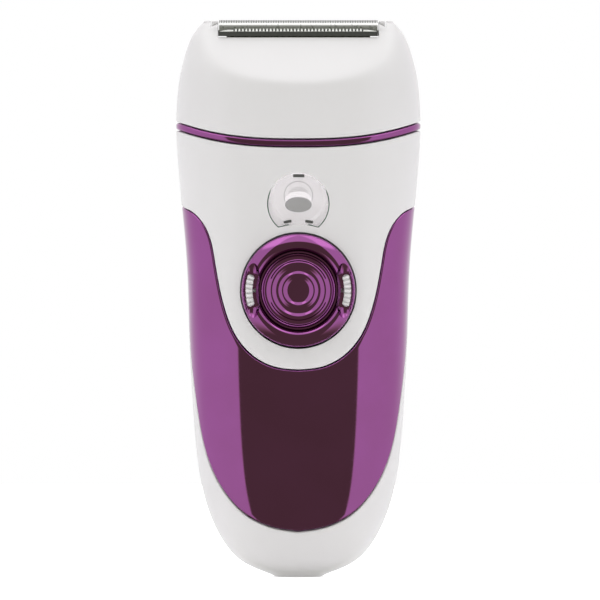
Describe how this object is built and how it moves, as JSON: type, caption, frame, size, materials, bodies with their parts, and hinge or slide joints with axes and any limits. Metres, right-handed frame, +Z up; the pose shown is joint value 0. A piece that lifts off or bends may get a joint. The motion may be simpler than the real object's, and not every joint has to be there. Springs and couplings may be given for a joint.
{
  "type": "epilator",
  "caption": "Cordless epilator with its shaver head fitted: rotary speed dial, work light and removable foil, on a waisted white and purple chromed handle.",
  "frame": {"origin": "middle of the flat at the handle's lower end, under the middle of the whole part", "axes": "+Z up the handle to the foil, -Y out of the front where the dial is, +X across the width"},
  "size_m": [0.0594, 0.0396, 0.135],
  "materials": {
    "back_shell": "gloss white ABS",
    "front_cover": "gloss white ABS",
    "front_panel": "purple metallised chrome",
    "collar_ring": "purple metallised chrome",
    "top_deck": "white ABS",
    "chassis": "grey moulding",
    "gear_plate": "grey acetal",
    "motor_can": "zinc plated steel",
    "motor_end_cap": "black nylon",
    "lower_bush": "sintered bronze",
    "upper_bush": "sintered bronze",
    "spindle_seal": "nitrile",
    "battery_left": "blue sleeve over a steel can",
    "battery_right": "blue sleeve over a steel can",
    "battery_link": "nickel strip",
    "battery_tab_left": "nickel strip",
    "battery_tab_right": "nickel strip",
    "battery_lead_left": "black insulation",
    "battery_lead_right": "red insulation",
    "circuit_board": "green solder mask",
    "charge_chip": "black epoxy",
    "power_transistor": "black epoxy",
    "charge_socket": "black moulding",
    "charge_pin": "nickel plated",
    "dial_bearing": "grey acetal",
    "light_window": "frosted clear acrylic",
    "light_reflector": "white reflector",
    "light_emitting_diode": "clear epoxy",
    "case_screw_1": "zinc plated",
    "case_screw_2": "zinc plated",
    "case_screw_3": "zinc plated",
    "case_screw_4": "zinc plated",
    "motor_screw_front": "zinc plated",
    "motor_screw_back": "zinc plated",
    "release_spring": "spring steel",
    "dial_ring": "purple metallised chrome",
    "dial_cap": "purple metallised chrome",
    "dial_shaft": "natural nylon",
    "dial_wiper": "phosphor bronze",
    "key_spring_left": "spring steel",
    "key_spring_right": "spring steel",
    "key_left": "white ABS",
    "key_right": "white ABS",
    "drive_spindle": "ground steel",
    "drive_gear": "natural acetal",
    "motor_shaft": "ground steel",
    "motor_pinion": "machined brass",
    "motor_armature": "laminated steel",
    "release_button": "white ABS",
    "head_housing": "gloss white ABS",
    "head_base": "white ABS",
    "trimmer_comb": "stamped stainless steel",
    "foil": "etched nickel foil",
    "foil_frame": "white ABS",
    "cutter_block": "hardened steel blades",
    "cutter_carrier": "natural acetal",
    "cutter_spring_left": "spring steel",
    "cutter_spring_right": "spring steel",
    "trimmer_blade": "hardened steel"
  },
  "bodies": {
    "handle": {"back_shell": "back_shell", "front_cover": "front_cover", "front_panel": "front_panel", "collar_ring": "collar_ring", "top_deck": "top_deck", "chassis": "chassis", "gear_plate": "gear_plate", "motor_can": "motor_can", "motor_end_cap": "motor_end_cap", "lower_bush": "lower_bush", "upper_bush": "upper_bush", "spindle_seal": "spindle_seal", "battery_left": "battery_left", "battery_right": "battery_right", "battery_link": "battery_link", "battery_tab_left": "battery_tab_left", "battery_tab_right": "battery_tab_right", "battery_lead_left": "battery_lead_left", "battery_lead_right": "battery_lead_right", "circuit_board": "circuit_board", "charge_chip": "charge_chip", "power_transistor": "power_transistor", "charge_socket": "charge_socket", "charge_pin": "charge_pin", "dial_bearing": "dial_bearing", "light_window": "light_window", "light_reflector": "light_reflector", "light_emitting_diode": "light_emitting_diode", "case_screw_1": "case_screw_1", "case_screw_2": "case_screw_2", "case_screw_3": "case_screw_3", "case_screw_4": "case_screw_4", "motor_screw_front": "motor_screw_front", "motor_screw_back": "motor_screw_back", "release_spring": "release_spring"},
    "dial": {"dial_ring": "dial_ring", "dial_cap": "dial_cap", "dial_shaft": "dial_shaft", "dial_wiper": "dial_wiper", "key_spring_left": "key_spring_left", "key_spring_right": "key_spring_right"},
    "left_key": {"key_left": "key_left"},
    "right_key": {"key_right": "key_right"},
    "spindle": {"drive_spindle": "drive_spindle", "drive_gear": "drive_gear"},
    "rotor": {"motor_shaft": "motor_shaft", "motor_pinion": "motor_pinion", "motor_armature": "motor_armature"},
    "release": {"release_button": "release_button"},
    "head": {"head_housing": "head_housing", "head_base": "head_base", "trimmer_comb": "trimmer_comb"},
    "foil_unit": {"foil": "foil", "foil_frame": "foil_frame"},
    "cutter": {"cutter_block": "cutter_block", "cutter_carrier": "cutter_carrier", "cutter_spring_left": "cutter_spring_left", "cutter_spring_right": "cutter_spring_right"},
    "trimmer": {"trimmer_blade": "trimmer_blade"}
  },
  "joints": [
    {"name": "dial_turn", "type": "hinge", "parent": "handle", "child": "dial", "pos_m": [0, 0, 0.0694], "axis": [0, -1, 0], "range_deg": [-30, 30]},
    {"name": "left_key_pinch", "type": "slide", "parent": "dial", "child": "left_key", "axis": [1, 0, 0], "range_m": [0, 0.0008], "stiffness_N_per_m": 300, "springref_m": -0.0005, "deforming": ["key_spring_left"]},
    {"name": "right_key_pinch", "type": "slide", "parent": "dial", "child": "right_key", "axis": [-1, 0, 0], "range_m": [0, 0.0008], "stiffness_N_per_m": 300, "springref_m": -0.0005, "deforming": ["key_spring_right"]},
    {"name": "spindle_spin", "type": "hinge", "parent": "handle", "child": "spindle", "pos_m": [0, 0, 0.1], "axis": [0, 0, 1], "continuous": true},
    {"name": "rotor_spin", "type": "hinge", "parent": "handle", "child": "rotor", "pos_m": [-0.01, 0, 0.075], "axis": [0, 0, 1], "continuous": true},
    {"name": "release_press", "type": "slide", "parent": "handle", "child": "release", "axis": [0, -1, 0], "range_m": [0, 0.0009], "stiffness_N_per_m": 1500, "springref_m": -0.0005, "deforming": ["release_spring"]},
    {"name": "head_lift", "type": "slide", "parent": "handle", "child": "head", "axis": [0, 0, 1], "range_m": [0, 0.022]},
    {"name": "foil_lift", "type": "slide", "parent": "head", "child": "foil_unit", "axis": [0, 0, 1], "range_m": [0, 0.008]},
    {"name": "cutter_stroke", "type": "slide", "parent": "head", "child": "cutter", "axis": [1, 0, 0], "range_m": [-0.001, 0.001]},
    {"name": "trimmer_stroke", "type": "slide", "parent": "head", "child": "trimmer", "axis": [1, 0, 0], "range_m": [-0.001, 0.001]}
  ],
  "couplings": [
    {"joint": "rotor_spin", "follows": "spindle_spin", "ratio": -2.3333},
    {"joint": "trimmer_stroke", "follows": "cutter_stroke", "ratio": 1}
  ]
}
